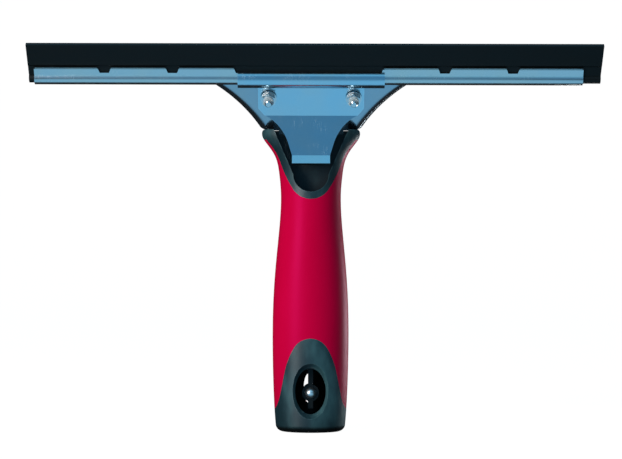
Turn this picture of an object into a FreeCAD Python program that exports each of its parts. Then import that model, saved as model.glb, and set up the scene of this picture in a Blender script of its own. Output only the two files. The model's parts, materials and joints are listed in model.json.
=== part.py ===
"""Window cleaning squeegee: a 30 cm steel blade channel with a rubber blade, held in the jaw
of a sprung clamp plate on a pressed steel head, with a moulded handle that takes a pole.

The part stands upright: +X to the right, the worked face of the blade towards -Y, +Z up.
The origin is the centre of the pole socket's mouth, under the handle.

The head leans towards the front. Its pieces are drawn in the head's own frame: x to the right,
y away from the front across the plates, z up along them, from the clamp plate's bend line.
"""
import FreeCAD, Part
import math
import os
import re

import Sketcher

V = FreeCAD.Vector

# ---------------------------------------------------------------- driving dimensions (mm, degrees)
SIZES = {
    # head, as a whole
    "head_lean": 35.0,            # lean of the head from upright
    "bend_front": 11.0,           # clamp plate's bend line, ahead of the handle's middle
    "bend_rise": 7.4,             # and above the handle's top
    "sheet": 1.5,                 # steel sheet of the clamp plate and the head plate
    "plate_gap": 2.2,             # room between the two plates
    "play": 0.3,                  # clearance between pieces that move apart
    "seat": 0.1,                  # clearance round a piece that is pushed home and stays
    # blade channel and rubber
    "bead_rise": 22.5,            # bead's middle, up the plates from the bend line
    "bead_back": 2.25,            # and behind the clamp plate's front face
    "rail_long": 300.0,
    "rail_off": -1.35,            # the channel's middle, from the handle's
    "rail_wall": 0.7,
    "bulge_round": 3.5,           # outer radius of the rolled part
    "neck_half": 1.8,             # half the width over the neck
    "lip_high": 8.0,              # lips' height above the bead's middle
    "lip_flare": 0.7,
    "flare_high": 1.3,
    "notch_count": 7,
    "notch_pitch": 37.2,
    "notch_top": 7.9,
    "notch_foot": 5.1,
    "notch_deep": 3.6,
    "rubber_long": 313.8,
    "rubber_off": 2.0,
    "rubber_high": 21.5,          # above the bead's middle
    "rubber_half": 1.15,          # half the blade's thickness
    "rubber_slant": 0.6,          # how far the ends are cut back at the bead
    # clamp plate
    "hook_half": 40.2,            # half the length of the front jaw
    "grip_angle": 56.0,           # how far the jaws reach over the rolled part
    "hook_foot_angle": 80.0,
    "clamp_half": 29.2,
    "clamp_corner": 4.6,          # height of the slanted lower corners
    "bend_half": 25.7,            # half the width at the bend line
    "scoop_round": 22.0,          # the scooped sides below it
    "scoop_drop": 16.8,
    "scoop_half": 12.1,
    "tab_half": 10.5,
    "tab_drop": 22.0,             # bend line to the thumb lip's crease
    "lip_long": 5.0,
    "lip_bend": 28.0,
    # clamp bolts
    "bolt_rise": 11.7,
    "bolt_apart": 23.4,           # each bolt's distance from the middle
    "bolt_round": 2.0,
    "bolt_room": 0.7,             # clearance round it in the rocking clamp plate
    "rock_room": 0.65,            # room ahead of the clamp plate, under the washer
    "washer_round": 4.4,
    "washer_thick": 0.8,
    "nut_half": 3.5,              # half the width across the flats
    "nut_thick": 2.9,
    "ring_round": 2.9,
    "ring_thick": 0.9,
    "tip_ahead": 7.7,
    "bolt_head_round": 3.8,
    "bolt_head_thick": 2.3,
    "key_half": 1.5,              # hexagon recess in the bolt's head
    "key_deep": 1.3,
    "dimple_round": 3.0,          # raised seats on the head plate round the bolts
    "dimple_foot": 4.6,
    # head plate
    "saddle_half": 56.5,
    "saddle_foot_angle": 70.0,
    "wing_low": -12.1,            # bottom of the wings, along the plate
    "wing_foot_half": 28.9,
    "wing_round": 92.0,           # the scooped sides
    "wing_deep": 8.5,             # depth of the rolled edges
    "wing_roll": 6.0,
    "knee_low": -18.0,            # where the tang bends upright
    "throat_half": 18.0,          # flat part between the wings and the knee
    "tang_half": 12.0,
    "tang_long": 44.0,
    # handle
    "foot_wide": 19.0, "foot_deep": 16.0,
    "base_high": 15.0, "base_wide": 20.2, "base_deep": 16.6,
    "palm_high": 53.0, "palm_wide": 21.2, "palm_deep": 17.0,
    "rise_high": 94.0, "rise_wide": 19.4, "rise_deep": 15.8,
    "neck_drop": 31.0, "neck_wide": 17.0, "neck_deep": 14.0,
    "flare_drop": 19.0, "flare_wide": 18.6, "flare_deep": 13.7,
    "shoulder_drop": 10.5, "shoulder_wide": 22.6, "shoulder_deep": 13.3,
    "horn_drop": 3.5, "horn_wide": 27.2, "horn_deep": 13.1,
    "handle_high": 168.0, "top_wide": 26.8, "top_deep": 13.0,
    "foot_roll": 4.0,             # rounding of the bottom edge
    "grip_thick": 2.5,
    "cap_line": 11.5,             # top of the cap's ring
    "fork_line_drop": 5.6,        # below the handle's top: the bottom of the core's bare top
    # dark surround of the clamp's pocket
    "fork_foot_drop": 38.7, "fork_foot_round": 11.8,
    "fork_low_half": 9.9, "fork_low_drop": 33.3,
    "fork_mid_half": 16.6, "fork_mid_drop": 19.6,
    "fork_top_half": 25.0,
    # pocket behind the clamp plate
    "pocket_drop": 34.7,
    "pocket_round": 9.9,
    "pocket_top_half": 21.2,
    "pocket_floor": 0.4,          # behind the handle's middle plane
    # cap's tongue
    "arch_top": 52.3, "arch_round": 10.6,
    "arch_half": 9.0, "arch_shoulder": 47.3,
    "tongue_half": 14.4, "tongue_mid": 33.2,
    "tongue_low_half": 17.0, "tongue_low": 20.0,
    "tongue_foot_half": 20.6,
    # window in the tongue
    "window_high": 22.9, "window_half": 8.5, "window_tall": 12.7,
    "rim_half": 11.6, "rim_tall": 15.2, "rim_sink": 3.2,
    "back_half": 2.7, "back_tall": 8.4, "back_off": -1.1,
    # pole socket and its lock
    "socket_round": 9.5,
    "mouth_long": 10.0,           # the plain ring at the mouth
    "socket_relief": 0.4,         # how much wider the socket is above it
    "socket_deep": 58.0,
    "stem_low": 13.0,
    "stem_half": 1.4,
    "stem_deep": 6.0,
    "plug_long": 14.0,            # the stem's root, seated in the core
    "plug_half": 6.0,
    "boss_high": 21.6,
    "boss_round": 4.7,
    "boss_front": 5.5,
    "boss_back": 5.0,
    "button_round": 3.05,
    "button_out": 4.0,            # how far the button stands out of the boss
    "collar_round": 3.6,
    "collar_thick": 1.2,
    "stop_wall": 1.0,
    "seal_thick": 1.5,
    "run": 0.06,                  # radial clearance of the button in its bore
    "pin_round": 1.5,
    "rivet_round": 1.75,
    "rivet_head": 3.2,
    "rivet_apart": 6.0,
    "rivet_drop": 44.5,
    "rivet_reach": 6.5,           # half the length between the heads
    # springs
    "lock_wire": 0.45, "lock_coil": 2.4, "lock_turns": 5,
    "clamp_wire": 0.8, "clamp_coil": 3.4, "clamp_turns": 5,
    "spring_drop": 10.0,
    "spring_post": 2.5,           # post inside the clamp spring
}

doc = FreeCAD.newDocument("squeegee")
sheet = doc.addObject("Spreadsheet::Sheet", "Sizes")
for row, (name, value) in enumerate(SIZES.items(), start=1):
    sheet.set(f"A{row}", name)
    sheet.set(f"B{row}", str(value))
    sheet.setAlias(f"B{row}", name)
doc.recompute()


# ---------------------------------------------------------------- helpers
def sized(expression):
    """An expression in plain size names, written the way the document reads it."""
    named = re.sub(r"[a-z_]+", lambda m: "Sizes." + m[0] if m[0] in SIZES else m[0], str(expression))
    return named


def value_of(expression):
    """The number that an expression has now."""
    return float(sheet.evalExpression(sized(expression)))


def bind(thing, **properties):
    """Bind properties to expressions of the sheet's sizes."""
    for prop, expression in properties.items():
        thing.setExpression(prop, sized(expression))
    return thing


def turned(thing, axis=(1, 0, 0), angle="0", x="0", y="0", z="0"):
    """Place a piece at x, y, z, turned about one axis."""
    thing.Placement = FreeCAD.Placement(V(0, 0, 0), FreeCAD.Rotation(V(*axis), 90))
    thing.setExpression("Placement.Rotation.Angle", sized(angle))
    for letter, expression in (("x", x), ("y", y), ("z", z)):
        thing.setExpression(f"Placement.Base.{letter}", sized(expression))
    return thing


def in_head(thing, x="0", y="0", z="0"):
    """Place a piece whose drawing is in the head's frame, at x, y, z of that frame."""
    return turned(
        thing, angle="head_lean", x=x,
        y=f"-bend_front + ({y}) * cos(head_lean) - ({z}) * sin(head_lean)",
        z=f"handle_high + bend_rise + ({y}) * sin(head_lean) + ({z}) * cos(head_lean)")


def new_body(name):
    body = doc.addObject("PartDesign::Body", name)
    body.Label = name
    return body


def flat_sketch(body, plane, lift, name):
    """An empty sketch on one of the body's own planes, raised off it by lift."""
    sketch = body.newObject("Sketcher::SketchObject", f"{body.Name}_{name}")
    origin = [item for item in body.Origin.OriginFeatures if item.Role == plane][0]
    sketch.AttachmentSupport = [(origin, "")]
    sketch.MapMode = "FlatFace"
    if lift is not None:
        sketch.setExpression("AttachmentOffset.Base.z", sized(lift))
    return sketch


def fix(sketch, kind, *where, to):
    """One dimension of a sketch, bound to an expression."""
    number = sketch.addConstraint(Sketcher.Constraint(kind, *where, value_of(to)))
    sketch.setExpression(f"Constraints[{number}]", sized(to))


def outline(body, plane, path, lift=None, name="outline"):
    """A closed sketch. Each stop of the path is (x, y), reached by a straight edge, or
    (x, y, radius, turn), reached by an arc that turns left (+1) or right (-1)."""
    sketch = flat_sketch(body, plane, lift, name)
    stops = [(V(value_of(stop[0]), value_of(stop[1]), 0), stop) for stop in path]
    ends = []
    for i, (start, _) in enumerate(stops):
        finish, stop = stops[(i + 1) % len(stops)]
        if len(stop) == 2:
            sketch.addGeometry(Part.LineSegment(start, finish), False)
            ends.append((1, 2))
            continue
        radius, turn = value_of(stop[2]), stop[3]
        chord = finish - start
        left = V(-chord.y, chord.x, 0).normalize()
        reach = math.sqrt(max(radius ** 2 - (chord.Length / 2) ** 2, 0))
        middle = (start + finish) * 0.5 + left * (turn * reach)
        first, last = (start, finish) if turn > 0 else (finish, start)
        angles = [math.atan2(p.y - middle.y, p.x - middle.x) for p in (first, last)]
        sketch.addGeometry(Part.ArcOfCircle(Part.Circle(middle, V(0, 0, 1), radius), *angles), False)
        ends.append((1, 2) if turn > 0 else (2, 1))
        fix(sketch, "Radius", i, to=stop[2])
    for i, (_, stop) in enumerate(stops):
        before = (i - 1) % len(stops)
        sketch.addConstraint(Sketcher.Constraint("Coincident", before, ends[before][1], i, ends[i][0]))
        fix(sketch, "DistanceX", -1, 1, i, ends[i][0], to=stop[0])
        fix(sketch, "DistanceY", -1, 1, i, ends[i][0], to=stop[1])
    return sketch


def both_sides(path):
    """The right half of an outline, from bottom to top, closed by its mirror image."""
    full = list(path)
    for i in range(len(path) - 1, -1, -1):
        x, y = path[i][:2]
        arc = path[i + 1][2:] if i + 1 < len(path) else ()
        if x == "0":
            if i == 0:
                full[0] = (x, y) + arc
            continue
        full.append((f"-({x})", y) + arc)
    return full


def circle_sketch(body, plane, radius, x="0", y="0", lift=None, name="round"):
    """A sketch of one circle."""
    sketch = flat_sketch(body, plane, lift, name)
    middle = V(value_of(x), value_of(y), 0)
    sketch.addGeometry(Part.Circle(middle, V(0, 0, 1), value_of(radius)), False)
    fix(sketch, "DistanceX", -1, 1, 0, 3, to=x)
    fix(sketch, "DistanceY", -1, 1, 0, 3, to=y)
    fix(sketch, "Radius", 0, to=radius)
    return sketch


def pad(body, sketch, length, symmetric=False, reverse=False, name="pad"):
    feature = body.newObject("PartDesign::Pad", f"{body.Name}_{name}")
    feature.Profile = sketch
    feature.SideType = "Symmetric" if symmetric else "One side"
    feature.Reversed = reverse
    bind(feature, Length=length)
    return feature


def cut_away(body, sketch, length, symmetric=False, reverse=False, name="cut"):
    """A pocket that must take material away."""
    doc.recompute()
    before = body.Shape.Volume
    feature = body.newObject("PartDesign::Pocket", f"{body.Name}_{name}")
    feature.Profile = sketch
    feature.Midplane = symmetric
    feature.Reversed = reverse
    bind(feature, Length=length)
    doc.recompute()
    if body.Shape.Volume > before - 0.01:
        raise RuntimeError(f"{feature.Name} cuts nothing")
    return feature


def band(body, x, y, inner, outer, start, stop, name="band"):
    """A curved strip between two radii, drawn across the head from one angle to another."""
    def at(radius, angle):
        return f"({x}) + ({radius}) * cos({angle})", f"({y}) + ({radius}) * sin({angle})"
    path = [at(inner, start), at(outer, start), at(outer, stop) + (outer, 1), at(inner, stop)]
    path[0] = path[0] + (inner, -1)
    return outline(body, "YZ_Plane", path, name=name)


def boolean(kind, name, base, tool):
    thing = doc.addObject(f"Part::{kind}", name)
    thing.Base, thing.Tool, thing.Refine = base, tool, False
    return thing


def fused(name, *shapes):
    thing = doc.addObject("Part::MultiFuse", name)
    thing.Shapes, thing.Refine = list(shapes), False
    return thing


def carved(name, blank, *tools):
    """A blank with each tool cut away in turn."""
    for number, tool in enumerate(tools, start=1):
        blank = boolean("Cut", f"{name}_{number}", blank, tool)
    return blank


def box(name, width, depth, height, x="0", y="0", z="0"):
    """A box by its sizes, its middle in x, and its lowest y and z."""
    thing = bind(doc.addObject("Part::Box", name), Length=width, Width=depth, Height=height)
    return turned(thing, x=f"({x}) - ({width}) / 2", y=y, z=z)


def rod(name, radius, length, x="0", y="0", z="0"):
    """A round bar along Y, from y towards the back."""
    thing = bind(doc.addObject("Part::Cylinder", name), Radius=radius, Height=length)
    return turned(thing, angle="-90", x=x, y=y, z=z)


def coil(name, radius, wire, turns, length, y, z):
    """A compression spring along Y: a round wire swept along a helix."""
    helix = bind(doc.addObject("Part::Helix", name + "_line"), Radius=radius,
                 Height=f"({length}) - ({wire}) * 2.2",
                 Pitch=f"(({length}) - ({wire}) * 2.2) / ({turns})")
    section = bind(doc.addObject("Part::Circle", name + "_wire"), Radius=wire)
    turned(section, angle="90", x=radius)
    spring = doc.addObject("Part::Sweep", name)
    spring.Sections, spring.Spine = [section], (helix, [])
    spring.Solid, spring.Frenet = True, True
    return turned(spring, angle="-90", y=f"({y}) + ({wire}) * 1.1", z=z)


NODES = {}


def piece(name, thing):
    """Name a finished piece: its label is the name of its file."""
    thing.Label = name
    NODES[name] = thing
    return thing


# ---------------------------------------------------------------- blade channel and rubber
def blade_channel():
    """Rolled steel channel: a round bead seat, a neck and two flared lips.

    The front lip is notched, and left out over the clamp."""
    body = new_body("blade_channel")
    inner = "(bulge_round - rail_wall)"
    neck_in = "(neck_half - rail_wall)"
    neck_join = "sqrt(bulge_round ^ 2 - neck_half ^ 2)"
    seat_high = f"sqrt({inner} ^ 2 - {neck_in} ^ 2)"
    flare_foot = "lip_high - flare_high"
    path = [
        ("neck_half + lip_flare", "lip_high"),
        (f"{neck_in} + lip_flare", "lip_high"),
        (neck_in, flare_foot),
        (neck_in, seat_high),
        ("0", f"-{inner}", inner, -1),
        (f"-{neck_in}", seat_high, inner, -1),
        (f"-{neck_in}", flare_foot),
        (f"-{neck_in} - lip_flare", "lip_high"),
        ("-neck_half - lip_flare", "lip_high"),
        ("-neck_half", flare_foot),
        ("-neck_half", neck_join),
        ("0", "-bulge_round", "bulge_round", 1),
        ("neck_half", neck_join, "bulge_round", 1),
        ("neck_half", flare_foot),
    ]
    pad(body, outline(body, "YZ_Plane", path), "rail_long", symmetric=True)
    first = "-notch_pitch * (notch_count - 1) / 2"
    notch = [
        (f"{first} - notch_foot / 2", "lip_high - notch_deep"),
        (f"{first} + notch_foot / 2", "lip_high - notch_deep"),
        (f"{first} + notch_top / 2", "lip_high + play"),
        (f"{first} - notch_top / 2", "lip_high + play"),
    ]
    sketch = outline(body, "XZ_Plane", notch, name="notch")
    slot = cut_away(body, sketch, "bulge_round * 2", reverse=True, name="first_notch")
    row = body.newObject("PartDesign::LinearPattern", "notch_row")
    row.Originals = [slot]
    row.Direction = (sketch, ["H_Axis"])
    bind(row, Length="notch_pitch * (notch_count - 1)", Occurrences="notch_count")
    opening = [
        ("-notch_pitch - notch_foot / 2", "lip_high - notch_deep"),
        ("notch_pitch + notch_foot / 2", "lip_high - notch_deep"),
        ("notch_pitch + notch_top / 2", "lip_high + play"),
        ("-notch_pitch - notch_top / 2", "lip_high + play"),
    ]
    body.Tip = row
    sketch = outline(body, "XZ_Plane", opening, name="opening")
    body.Tip = cut_away(body, sketch, "bulge_round * 2", reverse=True, name="middle_opening")
    in_head(body, x="rail_off", y="bead_back", z="bead_rise")
    return piece("blade_channel", body)


def rubber_blade():
    """Moulded rubber: a round bead, a thin web through the channel's neck, and the wiping blade."""
    body = new_body("rubber_blade")
    bead = "(bulge_round - rail_wall - play)"
    web = "(neck_half - rail_wall - play)"
    web_high = f"sqrt({bead} ^ 2 - {web} ^ 2)"
    path = [
        ("rubber_half", "rubber_high"),
        ("-rubber_half", "rubber_high"),
        ("-rubber_half", "lip_high + play * 3"),
        (f"-{web}", "lip_high"),
        (f"-{web}", web_high),
        ("0", f"-{bead}", bead, 1),
        (web, web_high, bead, 1),
        (web, "lip_high"),
        ("rubber_half", "lip_high + play * 3"),
    ]
    pad(body, outline(body, "YZ_Plane", path), "rubber_long", symmetric=True)
    for side, name in (("-1", "left"), ("1", "right")):
        end = f"({side}) * rubber_long / 2"
        wedge = [
            (f"{end}", "rubber_high"),
            (f"{end} - ({side}) * rubber_slant", f"-{bead} - play"),
            (f"{end} + ({side}) * rubber_slant", f"-{bead} - play"),
        ]
        sketch = outline(body, "XZ_Plane", wedge, name=name + "_end")
        cut_away(body, sketch, "rubber_half * 8", symmetric=True, name=name + "_slant")
    in_head(body, x="rubber_off", y="bead_back", z="bead_rise")
    return piece("rubber_blade", body)


# ---------------------------------------------------------------- clamp plate and head plate
JAW_IN = "(bulge_round + play)"
JAW_OUT = "(bulge_round + play + sheet)"
PLATE_TOP = f"bead_rise - {JAW_IN} - sheet * 0.3"
HEAD_FRONT = "(sheet + plate_gap)"


def clamp_plate():
    """Pressed lever: the hooked front jaw, a plate between the bolts, and the thumb tab."""
    body = new_body("clamp_plate")
    lip = "(head_lean + lip_bend)"
    crease = ("-tab_drop * sin(head_lean)", "-tab_drop * cos(head_lean)")
    tip = (f"{crease[0]} - lip_long * sin({lip})", f"{crease[1]} - lip_long * cos({lip})")
    side = [
        ("0", PLATE_TOP),
        ("0", "0"),
        crease,
        tip,
        (f"{tip[0]} + sheet * cos({lip})", f"{tip[1]} - sheet * sin({lip})"),
        (f"{crease[0]} + sheet * cos(head_lean) - sheet * tan(lip_bend / 2) * sin(head_lean)",
         f"{crease[1]} - sheet * sin(head_lean) - sheet * tan(lip_bend / 2) * cos(head_lean)"),
        ("sheet", "-sheet * tan(head_lean / 2)"),
        ("sheet", PLATE_TOP),
    ]
    pad(body, outline(body, "YZ_Plane", side, name="side"), "clamp_half * 2", symmetric=True)
    for way, name, turn in (("-1", "left", 1), ("1", "right", -1)):
        edge = [
            (f"({way}) * clamp_half", "clamp_corner"),
            (f"({way}) * bend_half", "0"),
            (f"({way}) * scoop_half", "-scoop_drop * cos(head_lean)", "scoop_round", -turn),
            (f"({way}) * tab_half", "-tab_drop * cos(head_lean)"),
            (f"({way}) * tab_half", "-(tab_drop + lip_long * 2)"),
            (f"({way}) * (clamp_half + sheet)", "-(tab_drop + lip_long * 2)"),
            (f"({way}) * (clamp_half + sheet)", "clamp_corner"),
        ]
        sketch = outline(body, "XZ_Plane", edge, name=name + "_edge")
        cut_away(body, sketch, "tab_drop * 4", symmetric=True, name=name + "_scoop")
    for way, name in (("-1", "left"), ("1", "right")):
        hole = circle_sketch(body, "XZ_Plane", "bolt_round + bolt_room",
                             x=f"({way}) * bolt_apart", y="bolt_rise", name=name + "_hole")
        cut_away(body, hole, "sheet * 4", symmetric=True, name=name + "_bore")
    jaw = band(body, "bead_back", "bead_rise", JAW_IN, JAW_OUT,
               "180 - grip_angle", "180 + hook_foot_angle", name="jaw")
    body.Tip = pad(body, jaw, "hook_half * 2", symmetric=True, name="jaw_pad")
    in_head(body)
    return piece("clamp_plate", body)


def wing(name, inset, front, roll):
    """The head's pan or the hollow behind it: a plate with scooped sides and rolled front edges."""
    body = new_body(name)
    top = f"bead_rise - {JAW_IN}"
    half = [
        (f"wing_foot_half - ({inset})", f"wing_low - ({inset}) * 2"),
        (f"saddle_half - ({inset}) * 1.25", f"{top} - sheet * 0.7", f"wing_round + ({inset})", -1),
        (f"saddle_half - ({inset}) * 1.25", f"{top} - sheet * 0.4 + ({inset}) * 4"),
    ]
    block = pad(body, outline(body, "XZ_Plane", both_sides(half), lift=f"-({front})"),
                f"wing_deep + ({inset}) * 2", reverse=True)
    doc.recompute()
    front_at = value_of(front)
    edges = []
    for number, edge in enumerate(block.Shape.Edges, start=1):
        reach = edge.BoundBox
        if edge.Curve.TypeId == "Part::GeomCircle" and abs(reach.YMax - front_at) < 0.01:
            edges.append(f"Edge{number}")
    rounded = body.newObject("PartDesign::Fillet", f"{name}_roll")
    rounded.Base = (block, edges)
    bind(rounded, Radius=roll)
    body.Tip = rounded
    in_head(body)
    return body


def strip(body, room):
    """The head plate's throat and its upright tang, or the slot they fill with room around them."""
    front, back = f"({HEAD_FRONT} - ({room}))", f"({HEAD_FRONT} + sheet + ({room}))"
    thick, long = f"(sheet + 2 * ({room}))", f"(tang_long + ({room}))"
    end = (f"{front} - {long} * sin(head_lean)", f"knee_low - {long} * cos(head_lean)")
    throat = [
        (front, "wing_low + sheet * 4"),
        (front, f"knee_low - {thick} / 2"),
        (back, f"knee_low - {thick} / 2"),
        (back, "wing_low + sheet * 4"),
    ]
    tang = [
        (front, "knee_low + sheet"),
        (front, "knee_low"),
        end,
        (f"{end[0]} + {thick} * cos(head_lean)", f"{end[1]} - {thick} * sin(head_lean)"),
        (back, f"knee_low - {thick} * tan(head_lean / 2)"),
        (back, "knee_low + sheet"),
    ]
    for name, side, half in (("throat", throat, "throat_half"), ("tang", tang, "tang_half")):
        pad(body, outline(body, "YZ_Plane", side, name=name), f"({half} + {room}) * 2",
            symmetric=True, name=name + "_pad")


def head_plate():
    """Pressed steel head: rear jaw, winged pan with rolled edges, and the tang in the handle."""
    pan = boolean("Cut", "pan", wing("pan_outside", "0", HEAD_FRONT, "wing_roll"),
                  wing("pan_inside", "sheet", f"{HEAD_FRONT} + sheet", "wing_roll - sheet"))
    rest = new_body("head_rest")
    jaw = band(rest, "bead_back", "bead_rise", JAW_IN, JAW_OUT,
               "-saddle_foot_angle", "grip_angle", name="jaw")
    pad(rest, jaw, "saddle_half * 2", symmetric=True, name="jaw_pad")
    strip(rest, "0")
    in_head(rest)
    parts = [pan, rest]
    drills = []
    for way, name in (("-1", "left"), ("1", "right")):
        seat = doc.addObject("Part::Cone", f"seat_{name}")
        bind(seat, Radius1="dimple_foot", Radius2="dimple_round", Height="plate_gap - play * 1.6")
        seat_frame(seat, "90", f"({way}) * bolt_apart", HEAD_FRONT)
        parts.append(seat)
        drill = bind(doc.addObject("Part::Cylinder", f"drill_{name}"),
                     Radius="bolt_round + seat", Height="sheet * 8")
        drills.append(seat_frame(drill, "90", f"({way}) * bolt_apart", "sheet * 6"))
    for way, name in (("-1", "left"), ("1", "right")):
        drills.append(rod(f"rivet_drill_{name}", "rivet_round + seat", "sheet * 12",
                          x=f"({way}) * rivet_apart", y="-sheet * 6", z="handle_high - rivet_drop"))
    plate = boolean("Cut", "head_plate_steel", fused("head_blank", *parts), fused("head_drills", *drills))
    return piece("head_plate", plate)


def seat_frame(thing, quarter, x, y):
    """Place something round on a bolt's line, its axis turned a quarter from the head's own z."""
    in_head(thing, x=x, y=y, z="bolt_rise")
    thing.setExpression("Placement.Rotation.Angle", sized(f"head_lean + {quarter}"))
    return thing


# ---------------------------------------------------------------- clamp bolts
def ring_body(name, outer, inner, thick, x, y, hexagon=False):
    """A washer, nut or ring on a bolt: padded towards the front from y."""
    body = new_body(name)
    if hexagon:
        corner = f"({outer}) / cos(30)"
        path = [(f"{corner} * cos({60 * i + 30})", f"{corner} * sin({60 * i + 30})") for i in range(6)]
        sketch = outline(body, "XZ_Plane", path)
    else:
        sketch = circle_sketch(body, "XZ_Plane", outer)
    pad(body, sketch, thick)
    bore = circle_sketch(body, "XZ_Plane", inner, name="bore")
    cut_away(body, bore, f"({thick}) * 4", symmetric=True)
    in_head(body, x=x, y=y, z="bolt_rise")
    return piece(name, body)


def clamp_bolts():
    """Two bolts through both plates, each with a washer and a lock nut with its nylon ring."""
    washer_at = "-rock_room"
    nut_at = "-(rock_room + washer_thick)"
    ring_at = "-(rock_room + washer_thick + nut_thick)"
    head_at = f"({HEAD_FRONT} + sheet)"
    for way, side in (("-1", "left"), ("1", "right")):
        x = f"({way}) * bolt_apart"
        body = new_body(f"clamp_bolt_{side}")
        chamfer = "bolt_round * 0.25"
        path = [
            ("0", "-tip_ahead"),
            (f"bolt_round - {chamfer}", "-tip_ahead"),
            ("bolt_round", f"-tip_ahead + {chamfer}"),
            ("bolt_round", head_at),
            ("bolt_head_round", head_at),
            ("bolt_head_round", f"{head_at} + bolt_head_thick * 0.45"),
            ("bolt_head_round * 0.55", f"{head_at} + bolt_head_thick", "bolt_head_thick * 1.3", 1),
            ("0", f"{head_at} + bolt_head_thick"),
        ]
        sketch = outline(body, "XY_Plane", path)
        turn = body.newObject("PartDesign::Revolution", f"{body.Name}_turned")
        turn.Profile = sketch
        turn.ReferenceAxis = (sketch, ["V_Axis"])
        turn.Angle = 360
        corner = "key_half / cos(30)"
        key = [(f"{corner} * cos({60 * i})", f"{corner} * sin({60 * i})") for i in range(6)]
        recess = outline(body, "XZ_Plane", key, lift=f"-({head_at} + bolt_head_thick - key_deep)", name="key")
        cut_away(body, recess, "bolt_head_thick * 2")
        in_head(body, x=x, z="bolt_rise")
        piece(f"clamp_bolt_{side}", body)
        ring_body(f"clamp_washer_{side}", "washer_round", "bolt_round + seat", "washer_thick", x, washer_at)
        ring_body(f"clamp_nut_{side}", "nut_half", "bolt_round", "nut_thick", x, nut_at, hexagon=True)
        ring_body(f"nut_ring_{side}", "ring_round", "bolt_round", "ring_thick", x, ring_at)


# ---------------------------------------------------------------- handle
STATIONS = [
    ("0", "foot_wide", "foot_deep"),
    ("base_high", "base_wide", "base_deep"),
    ("palm_high", "palm_wide", "palm_deep"),
    ("rise_high", "rise_wide", "rise_deep"),
    ("handle_high - neck_drop", "neck_wide", "neck_deep"),
    ("handle_high - flare_drop", "flare_wide", "flare_deep"),
    ("handle_high - shoulder_drop", "shoulder_wide", "shoulder_deep"),
    ("handle_high - horn_drop", "horn_wide", "horn_deep"),
    ("handle_high", "top_wide", "top_deep"),
]


def handle_loft(name, inset):
    """The handle's outside, or its surface a wall further in, through oval stations."""
    rings = []
    for number, (high, wide, deep) in enumerate(STATIONS):
        ring = doc.addObject("Part::Ellipse", f"{name}_{number}")
        bind(ring, MajorRadius=f"{wide} - ({inset})", MinorRadius=f"{deep} - ({inset})")
        rings.append(turned(ring, z=high))
    loft = doc.addObject("Part::Loft", name)
    loft.Sections, loft.Solid, loft.Ruled = rings, True, False
    return loft


def front_prism(name, half):
    """A block with a front-view outline, from the middle plane out past the handle's front."""
    body = new_body(name)
    pad(body, outline(body, "XZ_Plane", both_sides(half)), "palm_deep * 2")
    return body


def oval(name, half, tall, z, y, x="0"):
    """An upright oval line in a plane across Y."""
    ring = bind(doc.addObject("Part::Ellipse", name), MajorRadius=tall, MinorRadius=half)
    return turned(ring, axis=(1, 1, 1), angle="240", x=x, y=y, z=z)


def oval_bore(name, half, tall, z, y, length, x="0"):
    """An oval hole along +Y."""
    bore = doc.addObject("Part::Extrusion", name)
    bore.Base = oval(name + "_line", half, tall, z, y, x)
    bore.DirMode, bore.Dir, bore.Solid = "Custom", V(0, 1, 0), True
    bind(bore, LengthFwd=length)
    return bore


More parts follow.
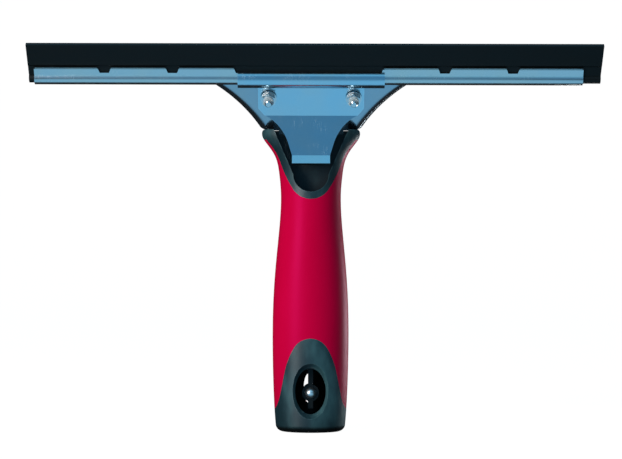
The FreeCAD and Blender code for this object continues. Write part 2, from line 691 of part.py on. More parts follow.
def handle():
    """Core, soft grip and end cap, all cut from the same outside."""
    raw = handle_loft("handle_outside", "0")
    doc.recompute()
    foot = [f"Edge{n}" for n, edge in enumerate(raw.Shape.Edges, start=1) if edge.BoundBox.ZMax < 0.01]
    outside = doc.addObject("Part::Fillet", "handle_rounded")
    outside.Base = raw
    roll = value_of("foot_roll")
    outside.Edges = [(int(edge[4:]), roll, roll) for edge in foot]
    inside = handle_loft("handle_inside", "grip_thick")

    wide, deep = "top_wide * 4", "palm_deep * 4"
    base_slab = box("cap_zone", wide, deep, "cap_line + 5", y="-palm_deep * 2", z="-5")
    top_slab = box("fork_zone", wide, deep, "fork_line_drop + 5", y="-palm_deep * 2",
                   z="handle_high - fork_line_drop")
    fork = front_prism("fork_front", [
        ("0", "handle_high - fork_foot_drop"),
        ("fork_low_half", "handle_high - fork_low_drop", "fork_foot_round", 1),
        ("fork_mid_half", "handle_high - fork_mid_drop", "fork_foot_round * 6", 1),
        ("fork_top_half", "handle_high - fork_line_drop", "fork_foot_round * 3", -1),
        ("fork_top_half", "handle_high + 5"),
        ("0", "handle_high + 5"),
    ])
    arch = front_prism("arch_front", [
        ("tongue_foot_half", "cap_line"),
        ("tongue_low_half", "tongue_low", "arch_round * 2", -1),
        ("tongue_half", "tongue_mid"),
        ("arch_half", "arch_shoulder", "arch_round * 4", 1),
        ("0", "arch_top", "arch_round", 1),
    ])

    mouth = bind(doc.addObject("Part::Cylinder", "socket_mouth"), Radius="socket_round",
                 Height="mouth_long + foot_roll")
    turned(mouth, z="-foot_roll")
    room = bind(doc.addObject("Part::Cylinder", "socket_room"), Radius="socket_round + socket_relief",
                Height="socket_deep - mouth_long")
    turned(room, z="mouth_long")
    socket = fused("socket", mouth, room)
    window = oval_bore("window", "window_half", "window_tall", "window_high",
                       "-palm_deep * 2", "palm_deep * 2")
    rim = doc.addObject("Part::Loft", "window_rim")
    rim.Sections = [
        oval("rim_outer", "rim_half + 1", "rim_tall + 1", "window_high", "-base_deep - rim_sink * 0.35"),
        oval("rim_inner", "window_half", "window_tall", "window_high", "-base_deep + rim_sink"),
    ]
    rim.Solid = True
    back_window = oval_bore("back_window", "back_half", "back_tall", "window_high", "0",
                            "palm_deep * 2", x="back_off")
    shell = boolean("Cut", "grip_shell", outside, inside)
    tongue = boolean("Common", "tongue", shell, arch)
    ring = boolean("Common", "cap_ring", outside, base_slab)
    piece("end_cap", carved("cap", fused("cap_blank", tongue, ring), socket, window, rim))

    piece("grip_sleeve", carved("grip", shell, base_slab, top_slab, fork, arch, back_window))

    bare_top = boolean("Common", "bare_top", outside, fused("fork_all", top_slab, fork))
    middle = boolean("Cut", "core_middle", inside, base_slab)
    pocket = new_body("pocket")
    half = [
        ("0", "handle_high - pocket_drop"),
        ("pocket_round", "handle_high - pocket_drop + pocket_round", "pocket_round", 1),
        ("pocket_top_half", "handle_high + 1"),
        ("0", "handle_high + 1"),
    ]
    pad(pocket, outline(pocket, "XZ_Plane", both_sides(half), lift="-pocket_floor"), "palm_deep * 2")
    post = rod("post", "spring_post", "sheet * 3", y="pocket_floor - sheet * 2",
               z="handle_high - spring_drop")
    slot = new_body("tang_slot")
    strip(slot, "seat")
    in_head(slot)
    root_seat = bind(doc.addObject("Part::Cylinder", "root_seat"), Radius="plug_half + seat",
                     Height="plug_long + seat")
    turned(root_seat, z="socket_deep")
    pin_drill = bind(doc.addObject("Part::Cylinder", "pin_drill"), Radius="pin_round",
                     Height="palm_wide * 4")
    turned(pin_drill, axis=(0, 1, 0), angle="90", x="-palm_wide * 2", z="socket_deep + plug_long / 2")
    drills = [rod(f"core_drill_{name}", "rivet_round", "palm_deep * 4", x=f"({way}) * rivet_apart",
                  y="-palm_deep * 2", z="handle_high - rivet_drop")
              for way, name in (("-1", "left"), ("1", "right"))]
    sinks = []
    for way, name in (("-1", "left"), ("1", "right")):
        for y, face in (("-palm_deep * 2", "front"), ("rivet_reach", "back")):
            length = "palm_deep * 2 - rivet_reach" if face == "front" else "palm_deep * 2"
            sinks.append(rod(f"sink_{name}_{face}", "rivet_head + seat", length,
                             x=f"({way}) * rivet_apart", y=y, z="handle_high - rivet_drop"))
    blank = boolean("Cut", "core_pocketed", fused("core_blank", bare_top, middle), pocket)
    solid = fused("core_with_post", blank, post)
    # the shelf under the pan's lower edge
    pan_front = f"-bend_front + {HEAD_FRONT} * cos(head_lean) - wing_low * sin(head_lean)"
    pan_foot = f"handle_high + bend_rise + {HEAD_FRONT} * sin(head_lean) + wing_low * cos(head_lean)"
    shelf = box("shelf", wide, deep, "bend_rise", y=f"{pan_front} - play * 3", z=f"{pan_foot} - seat")
    core = carved("core", solid, socket, window, rim, back_window, slot, root_seat, pin_drill, shelf,
                  *drills, *sinks)
    piece("handle_core", core)


# ---------------------------------------------------------------- pole lock and fixings
def pole_lock():
    """A stem in the socket that carries a sprung steel button, reached through the window."""
    bore = "(collar_round + run)"
    button_hole = "(button_round + run)"
    web = box("stem_web", "stem_half * 2", "stem_deep * 2", "socket_deep - stem_low + 1",
              y="-stem_deep", z="stem_low")
    root = bind(doc.addObject("Part::Cylinder", "stem_root"), Radius="plug_half", Height="plug_long")
    turned(root, z="socket_deep")
    foot = bind(doc.addObject("Part::Cylinder", "stem_foot"), Radius="stem_deep + play", Height="sheet * 2")
    turned(foot, z="socket_deep - sheet * 2")
    boss = rod("stem_boss", "boss_round", "boss_front + boss_back", y="-boss_front", z="boss_high")
    blank = fused("stem_blank", web, root, foot, boss)
    cuts = fused(
        "stem_cuts",
        rod("button_bore", button_hole, "boss_front * 2", y="-boss_front - 1", z="boss_high"),
        rod("collar_bore", bore, "boss_front + boss_back", y="-boss_front + stop_wall", z="boss_high"),
        doc.getObject("pin_drill"))
    piece("lock_stem", boolean("Cut", "stem_cut", blank, cuts))

    button = new_body("lock_button")
    face = "-(boss_front + button_out)"
    collar = "(-boss_front + stop_wall)"
    path = [
        ("0", face),
        ("button_round", f"{face} + button_round", "button_round", 1),
        ("button_round", collar),
        ("collar_round", collar),
        ("collar_round", f"{collar} + collar_thick"),
        ("0", f"{collar} + collar_thick"),
    ]
    sketch = outline(button, "XY_Plane", path)
    turn = button.newObject("PartDesign::Revolution", "button_turned")
    turn.Profile = sketch
    turn.ReferenceAxis = (sketch, ["V_Axis"])
    turn.Angle = 360
    turned(button, z="boss_high")
    piece("lock_button", button)

    spring_from = f"({collar} + collar_thick)"
    spring_to = "(boss_back - seal_thick)"
    piece("lock_spring", coil("lock_coil_wire", "lock_coil", "lock_wire / 2", "lock_turns",
                              f"{spring_to} - {spring_from}", spring_from, "boss_high"))
    piece("lock_seal", rod("lock_seal_disc", "collar_round", "seal_thick", y=spring_to, z="boss_high"))

    pin = bind(doc.addObject("Part::Cylinder", "stem_pin_bar"), Radius="pin_round",
               Height="rise_wide * 2 - grip_thick * 2")
    turned(pin, axis=(0, 1, 0), angle="90", x="-rise_wide + grip_thick", z="socket_deep + plug_long / 2")
    piece("stem_pin", pin)


def tang_rivets():
    """Two steel rivets through the core and the head's tang, under the soft grip."""
    for way, side in (("-1", "left"), ("1", "right")):
        x = f"({way}) * rivet_apart"
        shank = rod(f"rivet_shank_{side}", "rivet_round", "rivet_reach * 2", x=x,
                    y="-rivet_reach", z="handle_high - rivet_drop")
        front = rod(f"rivet_front_{side}", "rivet_head", "sheet", x=x, y="-rivet_reach - sheet",
                    z="handle_high - rivet_drop")
        back = rod(f"rivet_back_{side}", "rivet_head", "sheet", x=x, y="rivet_reach",
                   z="handle_high - rivet_drop")
        piece(f"tang_rivet_{side}", fused(f"rivet_{side}", shank, front, back))


def clamp_spring():
    """The spring behind the thumb tab that keeps the jaw shut."""
    tab_back = "(-bend_front + sheet)"
    piece("clamp_spring", coil("clamp_coil_wire", "clamp_coil", "clamp_wire / 2", "clamp_turns",
                               f"pocket_floor - {tab_back}", tab_back, "handle_high - spring_drop"))


blade_channel()
rubber_blade()
clamp_plate()
head_plate()
clamp_bolts()
handle()
pole_lock()
tang_rivets()
clamp_spring()
doc.recompute()

# ---------------------------------------------------------------- check, then write
failed = [item.Name for item in doc.Objects if "Invalid" in item.State or "Error" in item.State]
if failed:
    raise RuntimeError(f"these failed: {failed}")
for name, thing in NODES.items():
    if thing.Shape.isNull() or not thing.Shape.isValid():
        raise RuntimeError(f"{name} has no valid shape")

os.makedirs("parts", exist_ok=True)
for name, thing in NODES.items():
    thing.Shape.exportStep(f"parts/{name}.step")
    reach = thing.Shape.BoundBox
    print(f"{name:20s} {len(thing.Shape.Solids)} solid(s) {thing.Shape.Volume:9.1f} mm3",
          f"x {reach.XMin:.1f}..{reach.XMax:.1f} y {reach.YMin:.1f}..{reach.YMax:.1f}",
          f"z {reach.ZMin:.1f}..{reach.ZMax:.1f}")
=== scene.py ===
# %% [markdown]
# # A window cleaning squeegee
#
# The tool is a strip of black rubber in a rolled steel channel. A sprung clamp plate holds the
# channel against a pressed steel head, and the head is moulded into a plastic handle with a soft
# red grip. The shapes that fit and move come from the imported model. This lesson gives them their
# finishes, softens the edges of the steel and the blade, and puts a copy of each spring's coil in
# its place.

# %% Load the imported model
import json
import math

import bmesh
import bpy
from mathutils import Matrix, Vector


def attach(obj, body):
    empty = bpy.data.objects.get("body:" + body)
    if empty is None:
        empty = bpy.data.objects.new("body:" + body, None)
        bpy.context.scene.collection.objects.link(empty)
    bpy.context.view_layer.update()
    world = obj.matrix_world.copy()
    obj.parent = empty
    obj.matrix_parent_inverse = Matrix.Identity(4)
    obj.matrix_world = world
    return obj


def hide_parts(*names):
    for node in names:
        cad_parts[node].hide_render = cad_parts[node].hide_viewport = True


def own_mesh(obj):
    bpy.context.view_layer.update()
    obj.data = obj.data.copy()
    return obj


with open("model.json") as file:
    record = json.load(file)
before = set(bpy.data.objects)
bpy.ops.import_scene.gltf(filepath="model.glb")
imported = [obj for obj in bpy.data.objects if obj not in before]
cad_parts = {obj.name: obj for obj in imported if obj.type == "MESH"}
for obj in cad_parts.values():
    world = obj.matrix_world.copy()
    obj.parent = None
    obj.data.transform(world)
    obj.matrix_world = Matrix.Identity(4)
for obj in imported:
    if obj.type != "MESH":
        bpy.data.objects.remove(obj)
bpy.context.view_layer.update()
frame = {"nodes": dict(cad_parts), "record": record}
nodes = frame["nodes"]
scene = bpy.context.scene

# %% [markdown]
# ## Camera
#
# A flat tool looks truest straight on through a long lens, because the blade then stays parallel
# to the frame's top edge. The camera looks along +Y from 1.2 m, level with the middle of the
# handle. A wide lens nearby would bend the blade's ends away.

# %% Camera
CAMERA_FAR = 1.2
camera_data = bpy.data.cameras.new("camera")
camera_data.sensor_width = 36.0
camera_data.lens = 124.4
camera_data.dof.use_dof = False
camera = bpy.data.objects.new("camera", camera_data)
camera.location = (0.0001, -CAMERA_FAR, 0.1124)
camera.rotation_euler = (math.radians(90), math.radians(-0.13), 0)
scene.collection.objects.link(camera)
scene.camera = camera
print("camera at", tuple(camera.location))

# %% [markdown]
# ## Small node helpers
#
# Shaders are easier to read when each line says what is mixed with what. These helpers make one
# node each and hand back the socket that matters, so that the finishes below read as sentences.

# %% Node helpers


def node(tree, kind, inputs=None, **settings):
    """A node with its settings and its inputs, each a value or a socket to link from."""
    made = tree.nodes.new(kind)
    for key, value in settings.items():
        setattr(made, key, value)
    for key, value in (inputs or {}).items():
        socket = made.inputs[key]
        if isinstance(value, bpy.types.NodeSocket):
            tree.links.new(value, socket)
        else:
            socket.default_value = value
    return made


def ramp(tree, factor, low, high):
    """A smooth step of a factor, from 0 at low to 1 at high."""
    made = node(tree, "ShaderNodeMapRange", {"Value": factor, "From Min": low, "From Max": high},
                interpolation_type="SMOOTHSTEP")
    return made.outputs["Result"]


def spread(tree, value, low, high):
    """A value from 0 to 1, spread between low and high."""
    made = node(tree, "ShaderNodeMapRange", {"Value": value, "To Min": low, "To Max": high})
    return made.outputs["Result"]


def sums(tree, first, second, operation="MULTIPLY"):
    """One step of arithmetic."""
    made = node(tree, "ShaderNodeMath", {0: first, 1: second}, operation=operation)
    return made.outputs[0]


def blend(tree, factor, first, second):
    """A mix of two colours, each a colour or a socket."""
    made = node(tree, "ShaderNodeMix", {0: factor, 6: first, 7: second}, data_type="RGBA")
    return made.outputs[2]


def size_of(tree, value):
    """A value without its sign."""
    return node(tree, "ShaderNodeMath", {0: value}, operation="ABSOLUTE").outputs[0]


def noise_at(tree, place, scale, detail):
    """Noise at a place, mostly between 0.3 and 0.7."""
    made = node(tree, "ShaderNodeTexNoise", {"Vector": place, "Scale": scale, "Detail": detail})
    return made.outputs["Fac"]


def place_of(tree):
    """The x, y and z of a point on the piece, in metres."""
    place = node(tree, "ShaderNodeTexCoord").outputs["Object"]
    return node(tree, "ShaderNodeSeparateXYZ", {0: place}).outputs


# %% [markdown]
# ## Floor, backdrop and room
#
# Steel shows only what is around it, so the room is part of the finish. The floor and the wall
# are one white sheet with no horizon line. What the tool mirrors is set apart from what the eye
# sees: a blue patch of floor in front, a bright blue ceiling, a deeper blue room behind the
# camera, and a dark room behind the tool and to its right. The steel takes most of its blue from
# there, and its undersides go dark, as in a studio with black cards around the set.

# %% Floor and backdrop
FLOOR_HALF = 2.5
SWEEP_ROUND = 0.5
SWEEP_BACK = 1.4
WALL_TOP = 2.4
SHEET_DROP = 0.0004            # the sheet lies this far under the tool's base
DARK_ROOM = (0.02, 0.024, 0.028, 1)
DIFFUSE_SHARE = 0.3            # how much of the surroundings reaches matt surfaces


def sweep_profile():
    """Front edge, floor, quarter turn and wall of the backdrop, as (y, z) points."""
    points = [(-FLOOR_HALF, 0.0)]
    for step in range(13):
        turn = math.radians(90 * step / 12)
        points.append((SWEEP_BACK + SWEEP_ROUND * math.sin(turn), SWEEP_ROUND * (1 - math.cos(turn))))
    points.append((SWEEP_BACK + SWEEP_ROUND, WALL_TOP))
    return points


def white_paper():
    """White paper to the eye, with a faint shadow. Steel mirrors it blue in front, dark elsewhere."""
    paper = bpy.data.materials.new("white_paper")
    paper.use_nodes = True
    tree = paper.node_tree
    tree.nodes.remove(tree.nodes["Principled BSDF"])
    ray = node(tree, "ShaderNodeLightPath").outputs
    x, y, z = place_of(tree)
    ahead = sums(tree, ramp(tree, y, -0.01, -0.06), ramp(tree, size_of(tree, x), 0.34, 0.18))
    front = blend(tree, ramp(tree, y, -0.16, -0.75), (0.26, 0.59, 0.86, 1), (0.11, 0.29, 0.46, 1))
    mirrored = blend(tree, ahead, DARK_ROOM, front)
    strength = spread(tree, ray["Is Diffuse Ray"], 1.0, DIFFUSE_SHARE)
    lit = node(tree, "ShaderNodeEmission", {"Color": mirrored, "Strength": strength}).outputs[0]
    glow = node(tree, "ShaderNodeEmission", {"Strength": 1.12}).outputs[0]
    matt = node(tree, "ShaderNodeBsdfDiffuse", {"Color": (0.9, 0.92, 0.94, 1)}).outputs[0]
    seen = node(tree, "ShaderNodeMixShader", {0: 0.12, 1: glow, 2: matt}).outputs[0]
    both = node(tree, "ShaderNodeMixShader", {0: ray["Is Camera Ray"], 1: lit, 2: seen}).outputs[0]
    tree.links.new(both, tree.nodes["Material Output"].inputs["Surface"])
    return paper


def backdrop():
    """The floor and the wall as one smooth sheet, kept out of the tool's own size."""
    profile = sweep_profile()
    vertices = [(x, y, z - SHEET_DROP) for y, z in profile for x in (-FLOOR_HALF, FLOOR_HALF)]
    faces = [(2 * i, 2 * i + 1, 2 * i + 3, 2 * i + 2) for i in range(len(profile) - 1)]
    mesh = bpy.data.meshes.new("backdrop")
    mesh.from_pydata(vertices, [], faces)
    mesh.polygons.foreach_set("use_smooth", [True] * len(mesh.polygons))
    sheet = bpy.data.objects.new("backdrop", mesh)
    scene.collection.objects.link(sheet)
    mesh.materials.append(white_paper())
    return sheet


print("backdrop:", backdrop().dimensions[:])

# %% [markdown]
# ### The room around it
#
# Rays that miss the sheet meet the world. It could be a picture of a studio, but a few soft steps
# by direction are easier to tune and need no file.

# %% Room light


def room_world():
    """The room by direction: bright blue above, deeper blue ahead, dark behind and to the right."""
    world = bpy.data.worlds.new("room")
    world.use_nodes = True
    tree = world.node_tree
    ray = node(tree, "ShaderNodeLightPath").outputs
    way = node(tree, "ShaderNodeTexCoord").outputs["Generated"]
    x, y, z = node(tree, "ShaderNodeSeparateXYZ", {0: way}).outputs
    level = blend(tree, ramp(tree, y, 0.25, -0.35), DARK_ROOM, (0.09, 0.26, 0.44, 1))
    level = blend(tree, ramp(tree, x, 0.25, 0.75), level, DARK_ROOM)
    room = blend(tree, ramp(tree, z, 0.25, 0.62), level, (0.22, 0.56, 0.82, 1))
    shown = blend(tree, ray["Is Camera Ray"], room, (1, 1, 1, 1))
    background = tree.nodes["Background"]
    tree.links.new(shown, background.inputs["Color"])
    strength = spread(tree, ray["Is Diffuse Ray"], 1.0, DIFFUSE_SHARE)
    tree.links.new(strength, background.inputs["Strength"])
    return world


scene.world = room_world()
scene.view_settings.view_transform = "Standard"
print("world:", scene.world.name)

# %% [markdown]
# ## Lamps
#
# A tall soft box at the front left rolls one long highlight down the handle, a third of the way
# in from its edge. The right side gets only a weak fill, so the round grip turns to dark red
# there. A small low lamp at the back right is aimed at the right wing and adds a little there.

# %% Lamps


def soft_light(name, place, aim, wide, high, power, colour):
    """A soft box at a place, facing a point, out of sight of the camera."""
    data = bpy.data.lights.new(name, "AREA")
    data.shape, data.size, data.size_y = "RECTANGLE", wide, high
    data.energy, data.color = power, colour
    lamp = bpy.data.objects.new(name, data)
    lamp.location = place
    lamp.rotation_euler = (Vector(aim) - Vector(place)).to_track_quat("-Z", "Y").to_euler()
    lamp.visible_camera = False
    scene.collection.objects.link(lamp)


soft_light("key", (-0.80, -0.95, 0.42), (0, 0, 0.11), 0.34, 0.8, 13, (1.0, 0.98, 0.97))
soft_light("fill", (1.1, -0.6, 0.3), (0, 0, 0.12), 0.5, 0.8, 0.15, (0.90, 0.95, 1.0))
soft_light("rim", (0.23, 0.15, 0.04), (0.04, 0, 0.18), 0.12, 0.16, 0.35, (0.92, 0.97, 1.0))
print("lamps:", [lamp.name for lamp in bpy.data.lights])

# %% [markdown]
# ## Node groups that several finishes share
#
# Wear, grain and scratches look alike on many surfaces and differ only in strength, so each is
# one node group with named inputs. A group gives out a mask or a height, and the shader stays in
# the material, where it is easy to see what drives it.

# %% Group helpers


def new_group(name, inputs, outputs):
    """A shader node group with named float sockets: inputs as {name: default}."""
    group = bpy.data.node_groups.new(name, "ShaderNodeTree")
    for label, start in inputs.items():
        socket = group.interface.new_socket(label, in_out="INPUT", socket_type="NodeSocketFloat")
        socket.default_value = start
    for label in outputs:
        group.interface.new_socket(label, in_out="OUTPUT", socket_type="NodeSocketFloat")
    return group, group.nodes.new("NodeGroupInput"), group.nodes.new("NodeGroupOutput")


def stretched(tree, scale_x, scale_y, scale_z):
    """A piece's own coordinates, stretched so that noise turns into streaks."""
    joined = node(tree, "ShaderNodeCombineXYZ")
    for axis, part, scale in zip("XYZ", place_of(tree), (scale_x, scale_y, scale_z)):
        tree.links.new(sums(tree, part, scale), joined.inputs[axis])
    return joined.outputs[0]


# %% Edge wear group
def edge_wear_group():
    """Where edges are rubbed: the rounded normal leaves the flat one, broken up by noise."""
    group, given, out = new_group(
        "edge_wear", {"Width": 0.0005, "Amount": 0.5, "Patch Scale": 260}, ["Mask"])
    soft = node(group, "ShaderNodeBevel", {"Radius": given.outputs["Width"]}, samples=4)
    flat = node(group, "ShaderNodeNewGeometry").outputs["Normal"]
    normals = {0: soft.outputs[0], 1: flat}
    likeness = node(group, "ShaderNodeVectorMath", normals, operation="DOT_PRODUCT")
    edge = ramp(group, likeness.outputs["Value"], 0.995, 0.86)
    place = node(group, "ShaderNodeTexCoord").outputs["Object"]
    patches = ramp(group, noise_at(group, place, given.outputs["Patch Scale"], 5), 0.36, 0.62)
    mask = sums(group, sums(group, edge, patches), given.outputs["Amount"])
    group.links.new(mask, out.inputs["Mask"])
    return group


# %% Scratches group
def scratches_group():
    """Fine scratches one way: stretched noise kept only where it crosses its middle value."""
    group, given, out = new_group(
        "scratches", {"Across": 900, "Along": 18, "Thinness": 0.03, "Amount": 0.5}, ["Mask"])
    across, along = given.outputs["Across"], given.outputs["Along"]
    streaks = stretched(group, across, across, along)
    away = size_of(group, sums(group, noise_at(group, streaks, 1, 2), 0.5, "SUBTRACT"))
    limits = {"Value": away, "From Min": given.outputs["Thinness"], "From Max": 0}
    line = node(group, "ShaderNodeMapRange", limits).outputs["Result"]
    place = node(group, "ShaderNodeTexCoord").outputs["Object"]
    patches = ramp(group, noise_at(group, place, 90, 3), 0.45, 0.66)
    mask = sums(group, sums(group, line, patches), given.outputs["Amount"])
    group.links.new(mask, out.inputs["Mask"])
    return group


# %% Grain group
def grain_group():
    """The fine grain of a moulding or a rolled strip, with slow blotches beside it."""
    group, given, out = new_group(
        "grain", {"Fine Scale": 2600, "Blotch Scale": 70, "Stretch": 1}, ["Fine", "Blotch"])
    place = stretched(group, 1, 1, given.outputs["Stretch"])
    group.links.new(noise_at(group, place, given.outputs["Fine Scale"], 3), out.inputs["Fine"])
    group.links.new(noise_at(group, place, given.outputs["Blotch Scale"], 5), out.inputs["Blotch"])
    return group


EDGE_WEAR = edge_wear_group()
SCRATCHES = scratches_group()
GRAIN = grain_group()
print("groups:", [group.name for group in bpy.data.node_groups])

# %% [markdown]
# ## Finishes
#
# Each finish has its own function. They all start from a Principled BSDF, and vary its colour,
# roughness and bump over the surface, because even a clean moulding or sheet isn't the same
# everywhere.

# %% Finish helpers


def new_finish(name, roughness, metallic=0.0):
    """A material with its node tree and its Principled shader."""
    material = bpy.data.materials.new(name)
    material.use_nodes = True
    tree = material.node_tree
    shader = tree.nodes["Principled BSDF"]
    shader.inputs["Roughness"].default_value = roughness
    shader.inputs["Metallic"].default_value = metallic
    return material, tree, shader


def use(tree, group, **values):
    """A shared group placed in a material. An underscore stands for a space in a socket's name."""
    made = tree.nodes.new("ShaderNodeGroup")
    made.node_tree = group
    for label, value in values.items():
        made.inputs[label.replace("_", " ")].default_value = value
    return made


def bumped(tree, shader, height, strength, distance):
    """A height turned into small relief on the shader's normal."""
    made = node(tree, "ShaderNodeBump", {"Height": height, "Strength": strength, "Distance": distance})
    tree.links.new(made.outputs["Normal"], shader.inputs["Normal"])


# %% [markdown]
# ### Sheet steel
#
# The pressed parts are bright steel sheet. It mirrors the room in soft bands, with a fine grain, a
# cool tint with warmer patches, and scratches where it is handled. Metallic 1 with a low
# roughness gives the mirror, and the grain and scratches break it up. The clamp's tint is bluer
# than plain steel: that extra blue is a painted reflection of the blue room. Rubbed edges turn
# near white, partly wear and partly a painted highlight along each edge. Other light and dark
# bands come from the room and the lamps.

# %% Steel finish
SCRATCH_TINT = (0.62, 0.72, 0.78, 1)
BARE_EDGE_AND_GLINT = (0.86, 0.90, 0.92, 1)


def steel(name, cool, warm, roughness, scratch=0.5):
    """Bright sheet: a cool tint with warmer patches, rolling grain and scratches."""
    material, tree, shader = new_finish(name, roughness, metallic=1.0)
    grain = use(tree, GRAIN, Fine_Scale=1400, Blotch_Scale=34, Stretch=1.0)
    worn = use(tree, EDGE_WEAR, Width=0.0004, Amount=0.7, Patch_Scale=420)
    marks = use(tree, SCRATCHES, Across=1500, Along=40, Thinness=0.02, Amount=scratch)
    tint = blend(tree, ramp(tree, grain.outputs["Blotch"], 0.40, 0.75), cool, warm)
    tint = blend(tree, sums(tree, marks.outputs["Mask"], 0.45), tint, SCRATCH_TINT)
    # Edges go near white: partly wear, partly a painted highlight along each edge.
    tint = blend(tree, worn.outputs["Mask"], tint, BARE_EDGE_AND_GLINT)
    tree.links.new(tint, shader.inputs["Base Color"])
    rough = spread(tree, grain.outputs["Fine"], roughness * 0.75, roughness * 1.35)
    rough = sums(tree, rough, sums(tree, marks.outputs["Mask"], 0.18), "ADD")
    tree.links.new(rough, shader.inputs["Roughness"])
    relief = sums(tree, grain.outputs["Fine"], sums(tree, marks.outputs["Mask"], 1.5), "SUBTRACT")
    bumped(tree, shader, relief, 0.10, 0.0001)
    return material


FINISHES = {
    # The clamp's blue tint is a painted reflection of the blue room, on top of the steel's grey.
    "clamp_steel": steel("clamp_steel", (0.42, 0.62, 0.71, 1), (0.50, 0.62, 0.66, 1), 0.17, 0.9),
    "head_steel": steel("head_steel", (0.36, 0.44, 0.50, 1), (0.42, 0.45, 0.46, 1), 0.18),
    "channel_steel": steel("channel_steel", (0.58, 0.62, 0.62, 1), (0.64, 0.63, 0.58, 1), 0.20),
    "fixing_steel": steel("fixing_steel", (0.64, 0.66, 0.66, 1), (0.69, 0.69, 0.67, 1), 0.24),
    "button_steel": steel("button_steel", (0.80, 0.84, 0.84, 1), (0.84, 0.85, 0.82, 1), 0.34, 0.3),
    "spring_steel": steel("spring_steel", (0.34, 0.36, 0.38, 1), (0.42, 0.42, 0.41, 1), 0.32),
}
print("steels:", sorted(FINISHES))

# %% [markdown]
# ### Soft red grip
#
# The grip is a soft elastomer moulded over the core. It is matt, with a very fine sparked texture
# and slow changes in gloss where hands have polished it. Its highlight is tinted, since a deep
# red rubber sends little white light back. A thin parting line runs down each side.

# %% Grip finish
PARTING_HALF = 0.00035
PARTING_HEIGHT = 2.5           # beside a grain of height 1


def parting_line(tree):
    """The thin ridge that the two halves of the mould leave down each side of the handle."""
    ridge = ramp(tree, size_of(tree, place_of(tree)[1]), PARTING_HALF, 0.0001)
    return sums(tree, ridge, PARTING_HEIGHT)


def grip_finish():
    """Matt red elastomer with a tinted highlight."""
    material, tree, shader = new_finish("red_grip", 0.42)
    grain = use(tree, GRAIN, Fine_Scale=3200, Blotch_Scale=45, Stretch=0.6)
    colour = blend(tree, grain.outputs["Blotch"], (0.68, 0.0, 0.038, 1), (0.80, 0.0005, 0.056, 1))
    tree.links.new(colour, shader.inputs["Base Color"])
    tree.links.new(spread(tree, grain.outputs["Blotch"], 0.34, 0.50), shader.inputs["Roughness"])
    shader.inputs["Specular IOR Level"].default_value = 0.3
    shader.inputs["Specular Tint"].default_value = (1.0, 0.03, 0.42, 1)
    relief = sums(tree, grain.outputs["Fine"], parting_line(tree), "ADD")
    bumped(tree, shader, relief, 0.10, 0.0001)
    return material


FINISHES["grip_rubber"] = grip_finish()
print("grip finish:", FINISHES["grip_rubber"].name)

# %% [markdown]
# ### Hard plastic of the core and the cap
#
# The dark parts are a hard plastic, grey with a green-blue cast. The flow of the melt leaves
# paler clouds on the surface, and corners are scuffed lighter. Deep hollows such as the pocket
# are darkened in the colour as painted shade. An ambient occlusion node finds them.

# %% Plastic finish
HOLLOW_REACH = 0.02
PAINTED_HOLLOW_SHADE = (0.002, 0.003, 0.003, 1)


def dark_plastic(name, deep, pale, clouds, scuff, shine):
    """Moulded plastic: paler clouds, scuffed corners and painted shade in the hollows."""
    material, tree, shader = new_finish(name, 0.4)
    grain = use(tree, GRAIN, Fine_Scale=1800, Blotch_Scale=clouds, Stretch=0.45)
    worn = use(tree, EDGE_WEAR, Width=0.0007, Amount=0.55, Patch_Scale=300)
    colour = blend(tree, ramp(tree, grain.outputs["Blotch"], 0.40, 0.72), deep, pale)
    colour = blend(tree, worn.outputs["Mask"], colour, scuff)
    # Painted shade: the colour goes near black where the ambient occlusion node finds a hollow.
    hollow = node(tree, "ShaderNodeAmbientOcclusion", {"Distance": HOLLOW_REACH}).outputs["AO"]
    colour = blend(tree, ramp(tree, hollow, 0.62, 0.30), colour, PAINTED_HOLLOW_SHADE)
    tree.links.new(colour, shader.inputs["Base Color"])
    tree.links.new(spread(tree, grain.outputs["Blotch"], 0.30, 0.52), shader.inputs["Roughness"])
    shader.inputs["Specular IOR Level"].default_value = shine
    relief = sums(tree, grain.outputs["Fine"], parting_line(tree), "ADD")
    bumped(tree, shader, relief, 0.14, 0.00012)
    return material


FINISHES["core_plastic"] = dark_plastic(
    "core_plastic", (0.010, 0.030, 0.036, 1), (0.044, 0.115, 0.122, 1), 70, (0.13, 0.24, 0.25, 1), 0.4)
FINISHES["stem_plastic"] = dark_plastic(
    "stem_plastic", (0.002, 0.003, 0.003, 1), (0.006, 0.008, 0.009, 1), 120,
    (0.02, 0.024, 0.026, 1), 0.2)
print("plastics:", FINISHES["core_plastic"].name, FINISHES["stem_plastic"].name)

# %% [markdown]
# ### Blade rubber and nylon
#
# The blade is carbon-black rubber, satin from its mould, with faint marks along its length. The
# lock nuts have a ring of natural nylon, which lets a little light in.

# %% Rubber and nylon finishes


def blade_rubber():
    """Near-black satin rubber, greyer where its edges are rubbed."""
    material, tree, shader = new_finish("blade_rubber", 0.5)
    grain = use(tree, GRAIN, Fine_Scale=1500, Blotch_Scale=60, Stretch=3.0)
    worn = use(tree, EDGE_WEAR, Width=0.0005, Amount=0.35, Patch_Scale=200)
    colour = blend(tree, grain.outputs["Blotch"], (0.0015, 0.003, 0.003, 1), (0.004, 0.006, 0.006, 1))
    colour = blend(tree, worn.outputs["Mask"], colour, (0.016, 0.018, 0.018, 1))
    tree.links.new(colour, shader.inputs["Base Color"])
    tree.links.new(spread(tree, grain.outputs["Blotch"], 0.42, 0.62), shader.inputs["Roughness"])
    shader.inputs["Specular IOR Level"].default_value = 0.2
    bumped(tree, shader, grain.outputs["Fine"], 0.08, 0.0001)
    return material


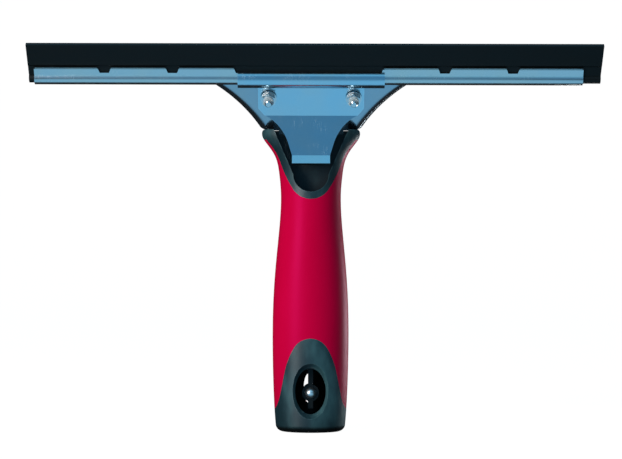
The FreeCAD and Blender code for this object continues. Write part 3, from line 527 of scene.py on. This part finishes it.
def nylon_finish():
    """Natural nylon, slightly milky."""
    material, tree, shader = new_finish("nylon", 0.35)
    grain = use(tree, GRAIN, Fine_Scale=1200, Blotch_Scale=400, Stretch=1.0)
    colour = blend(tree, grain.outputs["Blotch"], (0.52, 0.58, 0.58, 1), (0.70, 0.74, 0.72, 1))
    tree.links.new(colour, shader.inputs["Base Color"])
    shader.inputs["Subsurface Weight"].default_value = 0.15
    bumped(tree, shader, grain.outputs["Fine"], 0.05, 0.0001)
    return material


FINISHES["blade_rubber"] = blade_rubber()
FINISHES["nylon"] = nylon_finish()
print("finishes:", sorted(FINISHES))

# %% [markdown]
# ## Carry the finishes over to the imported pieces
#
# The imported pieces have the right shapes, so they stay. Faces that meet at a shallow angle are
# shaded smooth and the rest stay crisp. On the three steel sheets and the blade, a narrow bevel
# then catches light along each edge, as the small radius of any pressed or moulded edge does.

# %% Shade and bevel
SHARP_ANGLE = math.radians(32)
EDGE_ROUNDS = {"clamp_plate": 0.00025, "head_plate": 0.00025, "blade_channel": 0.00012,
               "rubber_blade": 0.0002}


def shade_by_angle(piece):
    """Smooth shading, with edges over the sharp angle kept crisp."""
    mesh = piece.data
    work = bmesh.new()
    work.from_mesh(mesh)
    sharp = [edge.is_manifold and edge.calc_face_angle(0) > SHARP_ANGLE for edge in work.edges]
    work.free()
    mesh.polygons.foreach_set("use_smooth", [True] * len(mesh.polygons))
    attribute = mesh.attributes.get("sharp_edge") or mesh.attributes.new("sharp_edge", "BOOLEAN", "EDGE")
    attribute.data.foreach_set("value", sharp)


def bevel(piece, width):
    """A small rounded edge, as a modifier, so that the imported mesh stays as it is."""
    rounding = piece.modifiers.new("edge_radius", "BEVEL")
    rounding.width, rounding.segments = width, 2
    rounding.limit_method, rounding.angle_limit = "ANGLE", SHARP_ANGLE
    rounding.harden_normals = True


slots = {entry["node"]: entry["material_slot"] for entry in frame["record"]["subparts"]}
for name, piece in nodes.items():
    piece.data.materials.clear()
    piece.data.materials.append(FINISHES[slots[name]])
    shade_by_angle(piece)
for name, width in EDGE_ROUNDS.items():
    bevel(nodes[name], width)
print("finished", len(nodes), "pieces, rounded", len(EDGE_ROUNDS))

# %% [markdown]
# ### Springs as copies of their coils
#
# A solid coil would pass through the part that presses on it. Each coil here is a copy of the
# imported one, fixed to the handle, and the imported coil is hidden.


def closing_spring(node_name):
    """A copy of the coil, fixed to the handle, in place of the hidden imported coil."""
    source = nodes[node_name]
    coil = bpy.data.objects.new(node_name + "_coil", source.data.copy())
    scene.collection.objects.link(coil)
    coil.matrix_world = source.matrix_world
    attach(coil, "handle")
    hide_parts(node_name)
    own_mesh(coil)


closing_spring("clamp_spring")
closing_spring("lock_spring")
